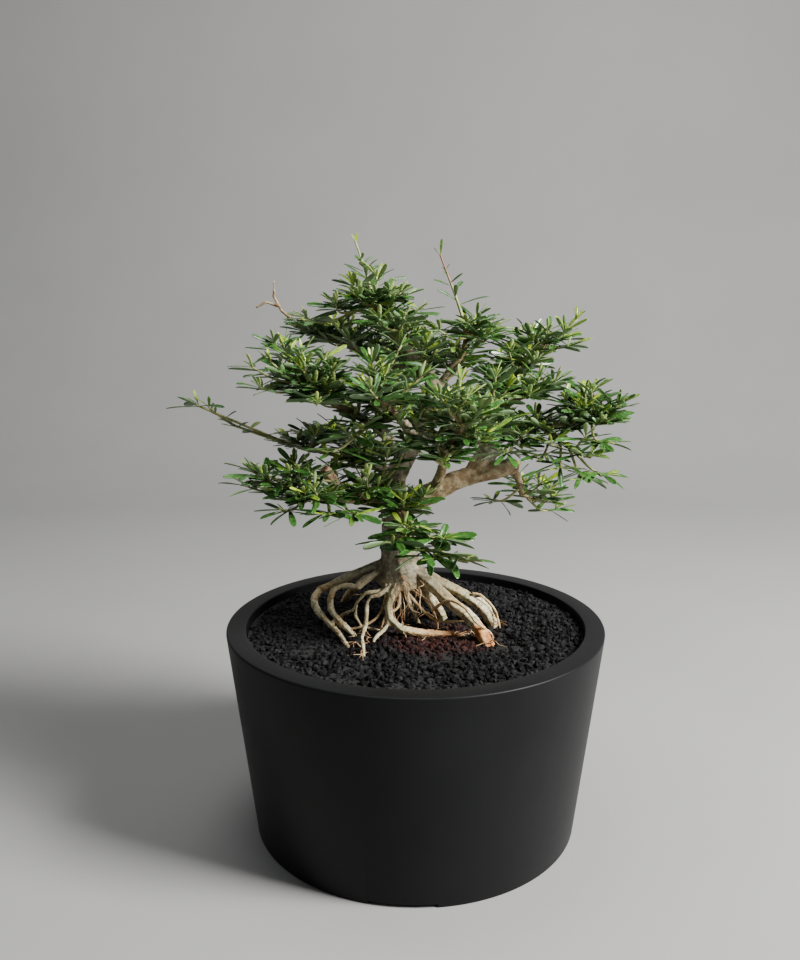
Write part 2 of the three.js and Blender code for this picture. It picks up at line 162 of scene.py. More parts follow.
# paints a colour on each corner of a mesh, for a finish to read
def paintCorners(mesh, name, colours):
    paint = mesh.color_attributes.new(name, "FLOAT_COLOR", "POINT")
    paint.data.foreach_set("color", np.array(colours, np.float32).ravel())


# points of a tube round a line, with a ring of corners at each point and closed ends
def tubeMesh(line, radii, sides, vertices, faces):
    base = len(vertices)
    side = None
    for i, (point, radius) in enumerate(zip(line, radii)):
        ahead = (line[min(i + 1, len(line) - 1)] - line[max(i - 1, 0)]).normalized()
        if side is None:
            side = ahead.orthogonal().normalized()
        side = (side - ahead * side.dot(ahead)).normalized()
        other = ahead.cross(side)
        for k in range(sides):
            angle = 2 * math.pi * k / sides
            vertices.append(point + (side * math.cos(angle) + other * math.sin(angle)) * radius)
    for i in range(len(line) - 1):
        for k in range(sides):
            a = base + i * sides + k
            b = base + i * sides + (k + 1) % sides
            faces.append((a, b, b + sides, a + sides))
    faces.append(tuple(base + k for k in reversed(range(sides))))
    last = base + (len(line) - 1) * sides
    faces.append(tuple(last + k for k in range(sides)))


# a smooth line through a few points
def smoothLine(points, steps):
    points = [Vector(p) for p in points]
    ends = [2 * points[0] - points[1], *points, 2 * points[-1] - points[-2]]
    line = []
    for i in range(1, len(ends) - 2):
        for k in range(steps):
            line.append(splinePoint(ends[i - 1:i + 3], k / steps))
    return [*line, points[-1]]


# the point at a share of the way between the middle two of four points
def splinePoint(four, t):
    a, b, c, d = four
    slope = c - a
    square = 2 * a - 5 * b + 4 * c - d
    cube = 3 * b - a - 3 * c + d
    return 0.5 * (2 * b + slope * t + square * t ** 2 + cube * t ** 3)


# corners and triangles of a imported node, with doubled corners joined
def nodeMesh(name):
    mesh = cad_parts[name].data
    corners = np.empty(len(mesh.vertices) * 3)
    mesh.vertices.foreach_get("co", corners)
    corners, index = np.unique(np.round(corners.reshape(-1, 3), 6), axis=0, return_inverse=True)
    mesh.calc_loop_triangles()
    triangles = np.empty(len(mesh.loop_triangles) * 3, int)
    mesh.loop_triangles.foreach_get("vertices", triangles)
    triangles = index.reshape(-1)[triangles].reshape(-1, 3)
    whole = [len(set(t)) == 3 for t in triangles.tolist()]
    return corners, triangles[whole]


potShape = {
    "segments": 240,
    "lipRounding": 1.3 * mm,  # outer edge of the rim
    "innerRounding": 0.7 * mm,
    "footRounding": 0.6 * mm,
    "roundSteps": 4,
    "lipHeight": 2 * mm,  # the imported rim's own outer edge lies within this of the top
    "skin": 0.1 * mm,  # corners this near to a height count as on it
    "floor": 10 * mm,
    "channelWidth": 33 * mm,
    "channelHeight": 2 * mm,
    "channelStart": 24 * mm,
    "channelAngles": (-94.6, 25.4, 145.4),
    "channelOver": 20 * mm,  # how far a channel's cutter runs out past the foot
    "holeRadius": 8 * mm,
    "holeOffset": 45 * mm,
    "holeSegments": 48,
    "sharpAngle": 50,  # edges steeper than this stay sharp
}


# the largest and smallest radius of a node's corners between two heights
def radiusRange(name, low, high):
    corners, _ = nodeMesh(name)
    inside = corners[(corners[:, 2] > low) & (corners[:, 2] < high)]
    radii = np.hypot(inside[:, 0], inside[:, 1])
    return radii.max(), radii.min()


# a corner of a profile rounded into a few points
def rounded(before, corner, after, size, steps):
    before, corner, after = Vector(before), Vector(corner), Vector(after)
    start = corner + (before - corner).normalized() * size
    end = corner + (after - corner).normalized() * size
    shares = [i / steps for i in range(steps + 1)]
    return [(start.lerp(corner, t)).lerp(corner.lerp(end, t), t) for t in shares]


# a profile of radius and height spun round the upright axis
def spunMesh(profile, segments):
    vertices, faces, rings = [], [], []
    for radius, height in profile:
        count = segments if radius > 0 else 1
        rings.append([len(vertices) + k for k in range(count)])
        for k in range(count):
            angle = 2 * math.pi * k / segments
            vertices.append((radius * math.cos(angle), radius * math.sin(angle), height))
    for low, high in zip(rings, rings[1:]):
        for k in range(segments):
            after = (k + 1) % segments
            ring = (low[k % len(low)], low[after % len(low)], high[after % len(high)], high[k % len(high)])
            faces.append(tuple(dict.fromkeys(ring)))
    return vertices, faces


def potProfile():
    s = potShape
    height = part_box("pot")[1].z
    rim = radiusRange("pot", height - s["lipHeight"], height)[0]
    foot = radiusRange("pot", -mm, s["skin"])[0]
    inside = radiusRange("pot", height - s["skin"], height + mm)[1]
    floorRadius = radiusRange("pot", s["floor"] - s["skin"], s["floor"] + s["skin"])[0]
    lip = (rim, height)
    edge = (inside, height)
    well = (floorRadius, s["floor"])
    return [
        (0, 0),
        *rounded((0, 0), (foot, 0), lip, s["footRounding"], s["roundSteps"]),
        *rounded((foot, 0), lip, edge, s["lipRounding"], s["roundSteps"]),
        *rounded(lip, edge, well, s["innerRounding"], s["roundSteps"]),
        well,
        (0, s["floor"]),
    ]


# a bar that cuts a drain channel from near the middle out past the foot
def channelCutter(turn):
    s = potShape
    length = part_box("pot")[1].x - s["channelStart"] + s["channelOver"]
    middle = Matrix.Translation((s["channelStart"] + length / 2, 0, 0))
    size = Matrix.Diagonal((length, s["channelWidth"], 2 * s["channelHeight"], 1))
    shape = bmesh.new()
    bmesh.ops.create_cube(shape, size=1, matrix=turn @ middle @ size)
    return shape


def holeCutter(turn):
    s = potShape
    spot = Matrix.Translation((s["holeOffset"], 0, 0))
    shape = bmesh.new()
    bmesh.ops.create_cone(shape, cap_ends=True, segments=s["holeSegments"], radius1=s["holeRadius"],
                          radius2=s["holeRadius"], depth=4 * s["floor"], matrix=turn @ spot)
    return shape


# cuts a shape out of a piece, once the modifiers of the piece are applied
def cutShape(piece, shape):
    mesh = bpy.data.meshes.new("cutter")
    shape.to_mesh(mesh)
    shape.free()
    cutter = bpy.data.objects.new("cutter", mesh)
    bpy.context.scene.collection.objects.link(cutter)
    cut = piece.modifiers.new("cut", "BOOLEAN")
    cut.operation = "DIFFERENCE"
    cut.solver = "EXACT"
    cut.object = cutter
    return cutter


def potFinish():
    f = Finish("satinBlackCeramic", Specular_IOR_Level=0.13)
    soft = f.noise(9, 4)
    fine = f.noise(420, 2)
    speck = 1 - f.step(f.noise(60, 2) + f.cells(240), 0.33, 0.36)
    base = f.mixed(f.step(soft, 0.35, 0.7), (0.0045, 0.0047, 0.0052), (0.0075, 0.0078, 0.0085))
    f.set("Base Color", f.mixed(speck * 0.2, base, (0.05, 0.05, 0.052)))
    f.set("Roughness", 0.38 + soft * 0.1 + fine * 0.05)
    f.bump(fine + f.noise(90, 3) * 1.5, 0.05 * mm, 0.5)
    return f.material


def makePot():
    s = potShape
    pot = newPiece("roundPot", *spunMesh(potProfile(), s["segments"]), potFinish())
    cutters = []
    for angle in s["channelAngles"]:
        turn = Matrix.Rotation(math.radians(angle), 4, "Z")
        cutters.append(cutShape(pot, channelCutter(turn)))
        cutters.append(cutShape(pot, holeCutter(turn)))
    applyModifiers(pot)
    for cutter in cutters:
        bpy.data.objects.remove(cutter)
    pot.data.set_sharp_from_angle(angle=math.radians(s["sharpAngle"]))
    place(pot, "pot", "pot")


def screenFinish():
    f = Finish("matDarkPlastic", Roughness=0.6)
    f.set("Base Color", f.mixed(f.noise(200), (0.018, 0.018, 0.018), (0.035, 0.035, 0.034)))
    f.bump(f.noise(900, 2), 0.03 * mm)
    return f.material


def finishScreens():
    material = screenFinish()
    for name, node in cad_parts.items():
        if name.startswith("drain_screen"):
            node.data.materials.clear()
            node.data.materials.append(material)


grains = {
    "count": 6400,
    "size": (1.8 * mm, 4 * mm),  # across
    "smallness": 1.4,  # over 1, most grains are small
    "jitter": 0.34,  # how angular a grain is, as a share of its radius
    "squash": (0.7, 1.15),
    "heap": 1.1 * mm,  # how uneven the bed is
    "heapScales": (45, 170),  # of the broad heaps and the small ones
    "dip": 0.9 * mm,  # how much lower the bed lies at the wall
    "stray": 0.4 * mm,
    "sink": 0.25,  # how deep a grain sits, as a share of its size
    "wallGap": 0.5 * mm,
    "woodGap": 0.35,  # no grain's middle lies nearer to the wood, as a share of its size
    "stainMiddle": Vector((0.009, -0.021)),  # of the reddish patch
    "stainStretch": 0.75,  # under 1, it is wider than it is deep
    "stainReach": 26 * mm,
    "stainSoftness": 12 * mm,
    "stainWaver": 6 * mm,
    "seed": 7,
}


def soilFinish():
    f = Finish("blackLavaGrain", Specular_IOR_Level=0.13)
    tone = f.painted("grainTone", 0)
    stain = f.painted("grainTone", 1)
    pores = f.noise(2600, 2)
    base = f.mixed(tone, (0.0006, 0.0006, 0.0008), (0.012, 0.012, 0.0135))
    base = f.mixed(stain * 0.7, base, (0.052, 0.013, 0.009))
    f.set("Base Color", f.mixed(f.step(pores, 0.6, 0.75) * 0.5, base, (0.004, 0.004, 0.004)))
    f.set("Roughness", 0.42 + pores * 0.5)
    f.bump(pores, 0.25 * mm, 0.9)
    return f.material


def bedFinish():
    f = Finish("packedDarkSoil", Roughness=0.95)
    f.set("Base Color", f.mixed(f.noise(500), (0.0006, 0.0006, 0.0006), (0.002, 0.002, 0.002)))
    f.bump(f.noise(900, 3), 0.6 * mm)
    return f.material


# the size and the middle of a grain on a spiral that fills the bed evenly
def grainSpot(rng, i, bedEdge, bedTop):
    s = grains
    size = rng.uniform(0, 1) ** s["smallness"] * (s["size"][1] - s["size"][0]) + s["size"][0]
    reach = (bedEdge - s["wallGap"] - size / 2) * math.sqrt((i + 0.5) / s["count"])
    angle = i * math.pi * (3 - math.sqrt(5)) + rng.normal(0, 0.02)
    spot = Vector((reach * math.cos(angle), reach * math.sin(angle), 0))
    spot.x += rng.normal(0, s["stray"])
    spot.y += rng.normal(0, s["stray"])
    broad, small = s["heapScales"]
    heap = (noise.noise(spot * broad) + noise.noise(spot * small) * 0.5) * s["heap"]
    spot.z = bedTop - s["dip"] * (reach / bedEdge) ** 2 + heap + rng.uniform(-s["sink"], s["sink"]) * size
    return size, spot


# an angular grain of unit radius, from the corners of a ball
def grainShape(rng, ball):
    s = grains
    squash = rng.uniform(*s["squash"], 3)
    shape = ball * (1 + rng.uniform(-s["jitter"], s["jitter"], (len(ball), 1))) * squash
    spin = Matrix.Rotation(rng.uniform(0, 6.28), 3, Vector(rng.normal(0, 1, 3)).normalized())
    return shape @ np.array(spin)


# how light a grain is and how red, from 0 to 1
def grainTone(rng, spot):
    s = grains
    away = (Vector((spot.x * s["stainStretch"], spot.y)) - s["stainMiddle"]).length
    away += noise.noise(spot * 90) * s["stainWaver"]
    red = min(1, max(0, (s["stainReach"] - away) / s["stainSoftness"])) * rng.uniform(0.2, 1)
    return rng.uniform(0, 1) ** 2, red


def makeGrains(woodTree):
    s = grains
    rng = np.random.default_rng(s["seed"])
    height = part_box("pot")[1].z
    bedEdge = radiusRange("soil", height - 20 * mm, height)[0]
    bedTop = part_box("soil")[1].z
    shell = bmesh.new()
    bmesh.ops.create_icosphere(shell, subdivisions=1, radius=1)
    ball = np.array([v.co for v in shell.verts])
    ballFaces = np.array([[v.index for v in f.verts] for f in shell.faces])
    shell.free()
    vertices, faces, colours = [], [], []
    for i in range(s["count"]):
        size, spot = grainSpot(rng, i, bedEdge, bedTop)
        if woodTree.find_nearest(spot)[3] < size * s["woodGap"]:
            continue
        faces += (ballFaces + len(vertices)).tolist()
        vertices += (grainShape(rng, ball) * size / 2 + np.array(spot)).tolist()
        colours += [(*grainTone(rng, spot), 1, 1)] * len(ball)
    bed = newPiece("lavaGrains", vertices, faces, soilFinish(), smooth=False)
    paintCorners(bed.data, "grainTone", colours)
    place(bed, "soil")
    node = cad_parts["soil"]
    node.data.materials.clear()
    node.data.materials.append(bedFinish())


bark = {
    "voxel": 0.6 * mm,
    "softening": 26,  # rounds that take the facets off
    "softenSteps": (0.62, -0.64),  # in and back out
    "knobs": 0.55 * mm,  # on the roots
    "knobScale": 120,
    "ridges": 0.45 * mm,
    "ridgeScale": 180,
    "fine": 0.18 * mm,
    "fineScale": 620,
    "gnarl": 1.3 * mm,  # how far the trunk swells and dips
    "gnarlScale": 55,
    "gnarlWood": (5 * mm, 12 * mm),  # only wood thicker than this swells
    "rootTop": 30 * mm,  # roots are pale up to this height over the soil
    "rootFade": 14 * mm,
    "slimmer": 0.45 * mm,  # taken off thin roots
    "slimWood": (3 * mm, 5 * mm),
    "slimBelow": (24 * mm, 30 * mm),
    "twigWood": (2.6 * mm, 4.5 * mm),  # wood thinner than this has the brown bark of twigs
    "thickest": 40 * mm,
    "thicknessRounds": 6,  # that even the thickness out
    "cuts": ((-45, -22, 90, 3.4, 1.2), (55, 14, 85, 3.4, 1.2)),  # sawn ends: place, reach and softness in mm
    "tanLimbs": ((30, 8, 78, 24, 8), (-40, -16, 74, 24, 8)),  # smooth tan bark
    "paleLimb": (42, 20, 101, 15, 6),
    "bigRootFoot": (38 * mm, -27 * mm),  # its peeled end is orange
    "peelReach": (7 * mm, 12 * mm),
    "peelHeight": (8 * mm, 12 * mm),
    "levelRoot": (-14 * mm, 16 * mm),  # from where to where the level root in front turns orange
    "levelHeight": (5 * mm, 8 * mm),
    "levelFront": (10 * mm, 12 * mm),
    "levelEnd": (30 * mm, 34 * mm),
    "levelOrange": 0.85,
}


def woodFinish():
    f = Finish("lichenedBark", Specular_IOR_Level=0.35)
    root = f.painted("woodPaint", 0)
    twig = f.painted("woodPaint", 1)
    peel = f.painted("woodPaint", 2)
    sawn = f.painted("limbPaint", 0)
    tan = f.painted("limbPaint", 1)
    pale = f.painted("limbPaint", 2)
    patches = f.noise(70, 4)
    mottle = f.noise(260, 4)
    fleck = f.noise(900, 3)
    greyBark = f.mixed(f.step(mottle, 0.35, 0.65), (0.15, 0.12, 0.072), (0.31, 0.275, 0.18))
    lichen = f.step(patches * 0.25 + mottle * 0.75, 0.5, 0.62)
    greyBark = f.mixed(lichen * 0.6, greyBark, (0.4, 0.4, 0.29))
    tanBark = f.mixed(f.step(mottle, 0.4, 0.6), (0.3, 0.19, 0.09), (0.52, 0.4, 0.23))
    greyBark = f.mixed(tan * 0.75, greyBark, tanBark)
    paleBark = f.mixed(f.step(mottle, 0.4, 0.6), (0.3, 0.29, 0.2), (0.58, 0.58, 0.45))
    greyBark = f.mixed(pale * 0.8, greyBark, paleBark)
    greyBark = f.mixed(f.step(fleck, 0.55, 0.68) * 0.7, greyBark, (0.06, 0.045, 0.028))
    paleRoot = f.mixed(f.step(patches, 0.35, 0.65), (0.5, 0.39, 0.2), (0.7, 0.66, 0.45))
    paleRoot = f.mixed(f.step(mottle, 0.49, 0.6) * 0.75, paleRoot, (0.24, 0.135, 0.045))
    paleRoot = f.mixed(f.step(f.noise(140, 3), 0.5, 0.62) * 0.5, paleRoot, (0.3, 0.32, 0.15))
    paleRoot = f.mixed(f.step(fleck, 0.54, 0.62) * 0.7, paleRoot, (0.09, 0.052, 0.02))
    twigBark = f.mixed(f.step(mottle, 0.4, 0.6), (0.26, 0.17, 0.085), (0.4, 0.32, 0.18))
    base = f.mixed(root, f.mixed(twig, greyBark, twigBark), paleRoot)
    orange = f.mixed(f.step(mottle, 0.35, 0.65), (0.42, 0.15, 0.04), (0.68, 0.4, 0.17))
    orange = f.mixed(f.step(fleck, 0.55, 0.66) * 0.6, orange, (0.2, 0.08, 0.03))
    base = f.mixed(peel, base, orange)
    base = f.mixed(sawn, base, f.mixed(f.step(mottle, 0.4, 0.6), (0.36, 0.17, 0.09), (0.62, 0.47, 0.3)))
    f.set("Base Color", base)
    f.set("Roughness", 0.6 + fleck * 0.3)
    f.bump(mottle * 0.7 + fleck * 0.3, 0.7 * mm, 1)
    return f.material


# places and normals of a mesh's corners, read in one go
def cornersOf(mesh):
    places = np.empty(len(mesh.vertices) * 3)
    normals = np.empty(len(mesh.vertices) * 3)
    mesh.vertices.foreach_get("co", places)
    mesh.vertex_normals.foreach_get("vector", normals)
    return places.reshape(-1, 3), normals.reshape(-1, 3)


# how thick the wood is under each corner, from rays cast inwards
def thicknessOf(places, normals, tree):
    thickness = np.full(len(places), 2 * mm)
    for i, (spot, normal) in enumerate(zip(places, normals)):
        hit = tree.ray_cast(spot - normal * 0.05 * mm, -normal, bark["thickest"])
        if hit[0]:
            thickness[i] = hit[3]
    return thickness


# values on corners, evened out with those of their neighbours
def smoothOver(mesh, values, rounds):
    edges = np.empty(len(mesh.edges) * 2, int)
    mesh.edges.foreach_get("vertices", edges)
    a, b = edges.reshape(-1, 2).T
    count = np.bincount(a, minlength=len(values)) + np.bincount(b, minlength=len(values))
    for _ in range(rounds):
        total = np.bincount(a, values[b], len(values)) + np.bincount(b, values[a], len(values))
        values = 0.5 * values + 0.5 * total / np.maximum(count, 1)
    return values


# rounds off a mesh in pairs of steps, one that shrinks it and one that swells it back
def soften(mesh):
    places, _ = cornersOf(mesh)
    for step in bark["softenSteps"] * bark["softening"]:
        mean = np.stack([smoothOver(mesh, axis, 1) for axis in places.T], 1)
        places += (mean - places) * 2 * step
    mesh.vertices.foreach_set("co", places.ravel())
    mesh.update()


# 0 below low, 1 above high, smooth between
def smoothstep(values, low, high):
    t = np.clip((values - low) / (high - low), 0, 1)
    return t * t * (3 - 2 * t)


# 1 within reach of a place, 0 past that and its softness, all in mm
def patch(places, x, y, z, reach, softness):
    away = np.linalg.norm(places - np.array([x, y, z]) * mm, axis=1)
    return 1 - smoothstep(away, reach * mm, (reach + softness) * mm)


# corners moved in and out for ridges, knobs and swellings
def barkRelief(places, normals, thickness, soilTop):
    s = bark
    moved = s["gnarl"] * smoothstep(thickness, *s["gnarlWood"])
    for i, spot in enumerate(places):
        p = Vector(spot)
        strength = min(1, max(0.25, (p.z - soilTop) / s["rootTop"]))
        ridge = 1 - 2 * abs(noise.noise(Vector((p.x, p.y, p.z * 0.45)) * s["ridgeScale"]))
        moved[i] *= noise.noise(p * s["gnarlScale"])
        moved[i] += strength * s["ridges"] * ridge * 0.5 + s["fine"] * noise.noise(p * s["fineScale"])
        if p.z < soilTop + s["rootTop"]:
            moved[i] += s["knobs"] * noise.noise(p * s["knobScale"])
    return places + normals * moved[:, None]


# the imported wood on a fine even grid, with its facets rounded off
def evenWood(material):
    corners, triangles = nodeMesh("tree_wood")
    wood = newPiece("trunkAndRoots", corners.tolist(), triangles.tolist(), material)
    remesh = wood.modifiers.new("even", "REMESH")
    remesh.mode = "VOXEL"
    remesh.voxel_size = bark["voxel"]
    applyModifiers(wood)
    wood.data.polygons.foreach_set("use_smooth", [True] * len(wood.data.polygons))
    soften(wood.data)
    return wood


# how orange each corner is, at the peeled end of the big root and along the level root in front
def orangeShare(x, y, over):
    s = bark
    footX, footY = s["bigRootFoot"]
    peel = 1 - smoothstep(np.hypot(x - footX, y - footY), *s["peelReach"])
    peel *= 1 - smoothstep(over, *s["peelHeight"])
    level = 1 - smoothstep(over, *s["levelHeight"])
    level *= smoothstep(-y, *s["levelFront"]) * (1 - smoothstep(x, *s["levelEnd"]))
    return np.maximum(peel, s["levelOrange"] * level * smoothstep(x, *s["levelRoot"]))


def paintWood(mesh, places, thickness, soilTop):
    s = bark
    overSoil = places - np.array([0, 0, soilTop])
    x, y, over = overSoil.T
    root = 1 - smoothstep(over, s["rootTop"] - s["rootFade"], s["rootTop"])
    twig = 1 - smoothstep(thickness, *s["twigWood"])
    sawn = np.maximum(*[patch(overSoil, *cut) for cut in s["cuts"]])
    tan = np.maximum(*[patch(overSoil, *limb) for limb in s["tanLimbs"]])
    pale = patch(overSoil, *s["paleLimb"])
    full = np.ones(len(places))
    paintCorners(mesh, "woodPaint", np.stack([root, twig, orangeShare(x, y, over), full], 1))
    paintCorners(mesh, "limbPaint", np.stack([sawn, tan, pale, full], 1))


def makeWood(material):
    s = bark
    wood = evenWood(material)
    mesh = wood.data
    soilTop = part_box("soil")[1].z
    tree = BVHTree.FromPolygons([v.co for v in mesh.vertices], [p.vertices for p in mesh.polygons])
    places, normals = cornersOf(mesh)
    thickness = smoothOver(mesh, thicknessOf(places, normals, tree), s["thicknessRounds"])
    slim = 1 - smoothstep(thickness, *s["slimWood"])
    slim *= 1 - smoothstep(places[:, 2] - soilTop, *s["slimBelow"])
    places = barkRelief(places - normals * slim[:, None] * s["slimmer"], normals, thickness, soilTop)
    mesh.vertices.foreach_set("co", places.ravel())
    mesh.update()
    paintWood(mesh, places, thickness, soilTop)
    place(wood, "wood", "tree_wood")
    print("wood:", len(mesh.polygons), "faces")
    return tree


hairRoots = {
    "hub": (-6, 2, 24),  # the middle of the tuft under the trunk, in mm over the soil
    "hubSpread": 4,
    "tuft": 46,
    "tuftLength": (14, 27),
    "tuftSag": 0.2,
    "ends": ((-34, -29, 1), (-26, -40, 1), (-24, -26, 2), (28, -13, 1), (38, -28, 2), (-32, -15, 1),
             (-6, -17, 5), (8, -15, 2), (18, -14, 1), (-42, -12, 6), (1, 0, 5), (42, -2, 2)),
    "whiskers": 6,  # at each of those places
    "whiskerLength": (5, 13),
    "whiskerSag": 0.12,
    "waviness": 0.38,
    "bends": 4,  # of a thread
    "radius": (0.16, 0.34),
    "wrapped": (  # thin roots that lie over the thick ones
        ((8, -8, 12), (16, -13, 19), (25, -20, 17.5), (31, -26, 12), (37, -22, 5), (40, -18, 0)),
        ((30, 3, 17), (37, 3, 16), (43, -1, 9), (45, -5, 1)),
        ((-4, -2, 20), (4, -6, 10), (12, -10, 6), (22, -12, 7), (31, -13, 9)),
        ((-14, -1, 24), (-16, -8, 15), (-21, -12, 9), (-29, -14, 5), (-36, -11, 2)),
        ((-8, -1, 22), (-9, -9, 14), (-16, -14, 10), (-19, -17, 3), (-20, -20, -1)),
        ((2, 0, 20), (8, -2, 11), (11, -6, 5), (12, -8, -1)),
    ),
    "wrappedRadius": (0.85, 0.5),
    "paint": (1, 0, 0.35, 1),  # pale and a little orange
    "seed": 11,
}


# a wavy thread from a start along a heading, in mm, that bends down to the soil
def hairLine(rng, start, heading, length, sag):
    points = [Vector(start)]
    for _ in range(hairRoots["bends"]):
        heading = (heading + Vector(rng.normal(0, hairRoots["waviness"], 3)) - up * sag).normalized()
        points.append(points[-1] + heading * length / hairRoots["bends"])
        points[-1].z = max(points[-1].z, 0.3)
    return points


def hairFinish():
    f = Finish("paleHairRoot", Roughness=0.7)
    f.set("Base Color", f.mixed(f.step(f.noise(160, 3), 0.35, 0.65), (0.3, 0.13, 0.05), (0.58, 0.44, 0.24)))
    f.bump(f.noise(900, 2), 0.1 * mm)
    return f.material


# a tuft that hangs under the trunk, and whiskers round the ends of the roots
def hairThreads(rng):
    s = hairRoots
    threads = []
    for _ in range(s["tuft"]):
        start = Vector(s["hub"]) + Vector(rng.normal(0, 1, 3)) * s["hubSpread"]
        heading = Vector((rng.normal(0, 0.6), rng.normal(-0.5, 0.5), -1)).normalized()
        points = hairLine(rng, start, heading, rng.uniform(*s["tuftLength"]), s["tuftSag"])
        threads.append((points, rng.uniform(*s["radius"])))
    for end in s["ends"]:
        for _ in range(s["whiskers"]):
            heading = Vector((rng.normal(0, 1), rng.normal(-0.2, 0.8), rng.uniform(-0.1, 0.3))).normalized()
            start = Vector(end) + Vector(rng.normal(0, 1, 3))
            points = hairLine(rng, start, heading, rng.uniform(*s["whiskerLength"]), s["whiskerSag"])
            threads.append((points, rng.uniform(*s["radius"]) * 0.8))
    return threads


def makeThinRoots(material):
    s = hairRoots
    rng = np.random.default_rng(s["seed"])
    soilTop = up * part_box("soil")[1].z
    vertices, faces = [], []
    for points, radius in hairThreads(rng):
        line = smoothLine([soilTop + p * mm for p in points], 4)
        tubeMesh(line, np.linspace(radius, radius * 0.4, len(line)) * mm, 5, vertices, faces)
    place(newPiece("hairRoots", vertices, faces, hairFinish()), "wood")
    vertices, faces = [], []
    for points in s["wrapped"]:
        line = smoothLine([soilTop + (Vector(p) + Vector(rng.normal(0, 0.5, 3))) * mm for p in points], 6)
        radii = np.linspace(*s["wrappedRadius"], len(line)) * rng.uniform(0.8, 1.2, len(line))
        tubeMesh(line, radii * mm, 8, vertices, faces)
    roots = newPiece("thinRoots", vertices, faces, material)
    paintCorners(roots.data, "woodPaint", [s["paint"]] * len(vertices))
    place(roots, "wood")


leafShape = {
    "length": 17.5 * mm,
    "width": 3 * mm,
    "thickness": 0.22 * mm,
    "stations": (0, 0.06, 0.16, 0.3, 0.46, 0.62, 0.76, 0.88, 0.955, 0.985),
    "across": (-1, -0.55, 0, 0.55, 1),
    "fold": 0.28,  # how far the edges stand over the midrib, as a share of the half width
    "widestAt": 0.62,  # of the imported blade
    "packedKeel": 0.9 * mm,
    "packedTip": 2,  # the angles at a packed blade's tip add up to less than this, in radians
    "packedLeast": 2 * mm,  # least length from the tip to the widest place
    "packedUneven": 0.4 * mm,  # most difference between its two sides
    "turn": 2.4,  # from one leaf to the next round a stem, in radians
    "extra": 0.7,  # more leaves for each packed one
    "young": 5,  # small new leaves at the tip of a shoot
    "youngLength": (5 * mm, 9.5 * mm),
    "youngWidth": (1.5 * mm, 2.3 * mm),
    "youngTone": (0.5, 1),
    "freshest": {"packed": 0.65, "side": 0.6, "own": 0.4},  # how light a green a shoot or spray may have
    "sideSprays": 6,  # short side shoots on the twig behind each shoot
    "sideLeaves": 9,
    "sideLength": (6 * mm, 16 * mm),
    "sideBack": (0 * mm, 24 * mm),  # how far behind the shoot's seat they start
    "broad": {"shoot_low_front_end": 1.5},  # how much broader the leaves of a shoot are
    "whips": ("shoot_leader_whip", "shoot_right_whip", "shoot_long_left_end"),  # long bare shoots
    "redWhip": "shoot_right_whip",  # reddish towards its tip
    "stemSides": 7,
    "stemRadii": (0.85 * mm, 0.45 * mm),
    "sideRadii": (0.6 * mm, 0.4 * mm),
    "sprayRadii": (0.8 * mm, 0.45 * mm),
    "tipReach": 1.5 * mm,  # how far a stem's tip may lie off its line
    "seed": 23,
}

# side shoots with a place of their own: their owner, start and end in mm over the soil, and leaves
sprays = (
    ("hanging_end", (56, 20, 70), (43, 24, 63), 9),
    ("hanging_end", (62, 27, 62), (80, 35, 56), 6),
    ("low_front_end", (-2, -17, 61), (14, -30, 56), 10),
    ("low_front_end", (-4, -14, 63), (2, -31, 50), 9),
    ("low_front_end", (-2, -17, 60), (10, -33, 47), 9),
    ("low_front_end", (0, -17, 60), (24, -33, 46), 9),
    ("low_front_end", (-4, -14, 62), (-12, -31, 54), 8),
    ("low_front_high", (-6, -10, 65), (-8, -24, 56), 8),
    ("low_left_front", (-44, -19, 76), (-42, -38, 70), 9),
    ("low_left_front", (-38, -16, 75), (-30, -33, 69), 9),
    ("low_left_end", (-54, -24, 77), (-64, -38, 72), 9),
    ("low_left_end", (-64, -29, 82), (-84, -32, 84), 9),
    ("low_left_end", (-68, -30, 85), (-80, -33, 92), 8),
    ("low_right_end", (74, -6, 102), (72, -20, 89), 9),
    ("low_right_end", (78, -10, 98), (84, -20, 84), 9),
    ("low_right_end", (80, -12, 98), (95, -16, 85), 9),
    ("low_right_end", (70, 0, 104), (64, -11, 94), 8),
    ("far_right_front", (86, -4, 109), (95, -14, 101), 9),
    ("far_right_low", (52, -2, 101), (44, -14, 96), 9),
    ("front_right_low", (14, -16, 95), (26, -22, 108), 9),
    ("front_right_low", (14, -14, 92), (10, -27, 104), 9),
    ("front_right_low", (14, -12, 90), (0, -26, 112), 9),
    ("front_right_low", (10, -12, 92), (-9, -27, 115), 9),
    ("low_left_inner", (-20, -16, 80), (-14, -24, 97), 9),
    ("low_left_inner", (-16, -12, 82), (-5, -27, 103), 9),
    ("middle_left_inner", (-24, -18, 108), (-34, -34, 110), 9),
    ("middle_left_inner", (-28, -20, 109), (-43, -34, 100), 8),
    ("front_high", (-20, -28, 132), (-7, -24, 151), 9),
    ("crown_left", (-36, 8, 163), (-55, 6, 163), 9),
    ("crown_left", (-34, 4, 164), (-40, -3, 170), 8),
    ("crown_front", (-10, -4, 157), (-18, -14, 163), 9),
    ("crown_right", (-12, 4, 164), (2, 3, 167), 9),
    ("whip_side", (29, 16, 152), (12, 4, 157), 8),
    ("whip_side", (30, 16, 150), (40, 20, 153), 9),
    ("whip_back", (32, 32, 148), (20, 12, 148), 8),
    ("riser_side", (56, 32, 134), (50, 20, 145), 9),
    ("middle_left_end", (-58, -20, 134), (-80, -24, 141), 9),
    ("middle_left_end", (-56, -20, 130), (-76, -26, 131), 9),
    ("middle_left_high", (-62, -10, 143), (-70, -12, 151), 8),
    ("long_left_end", (-103, -10, 119), (-110, -10, 121), 4),
)


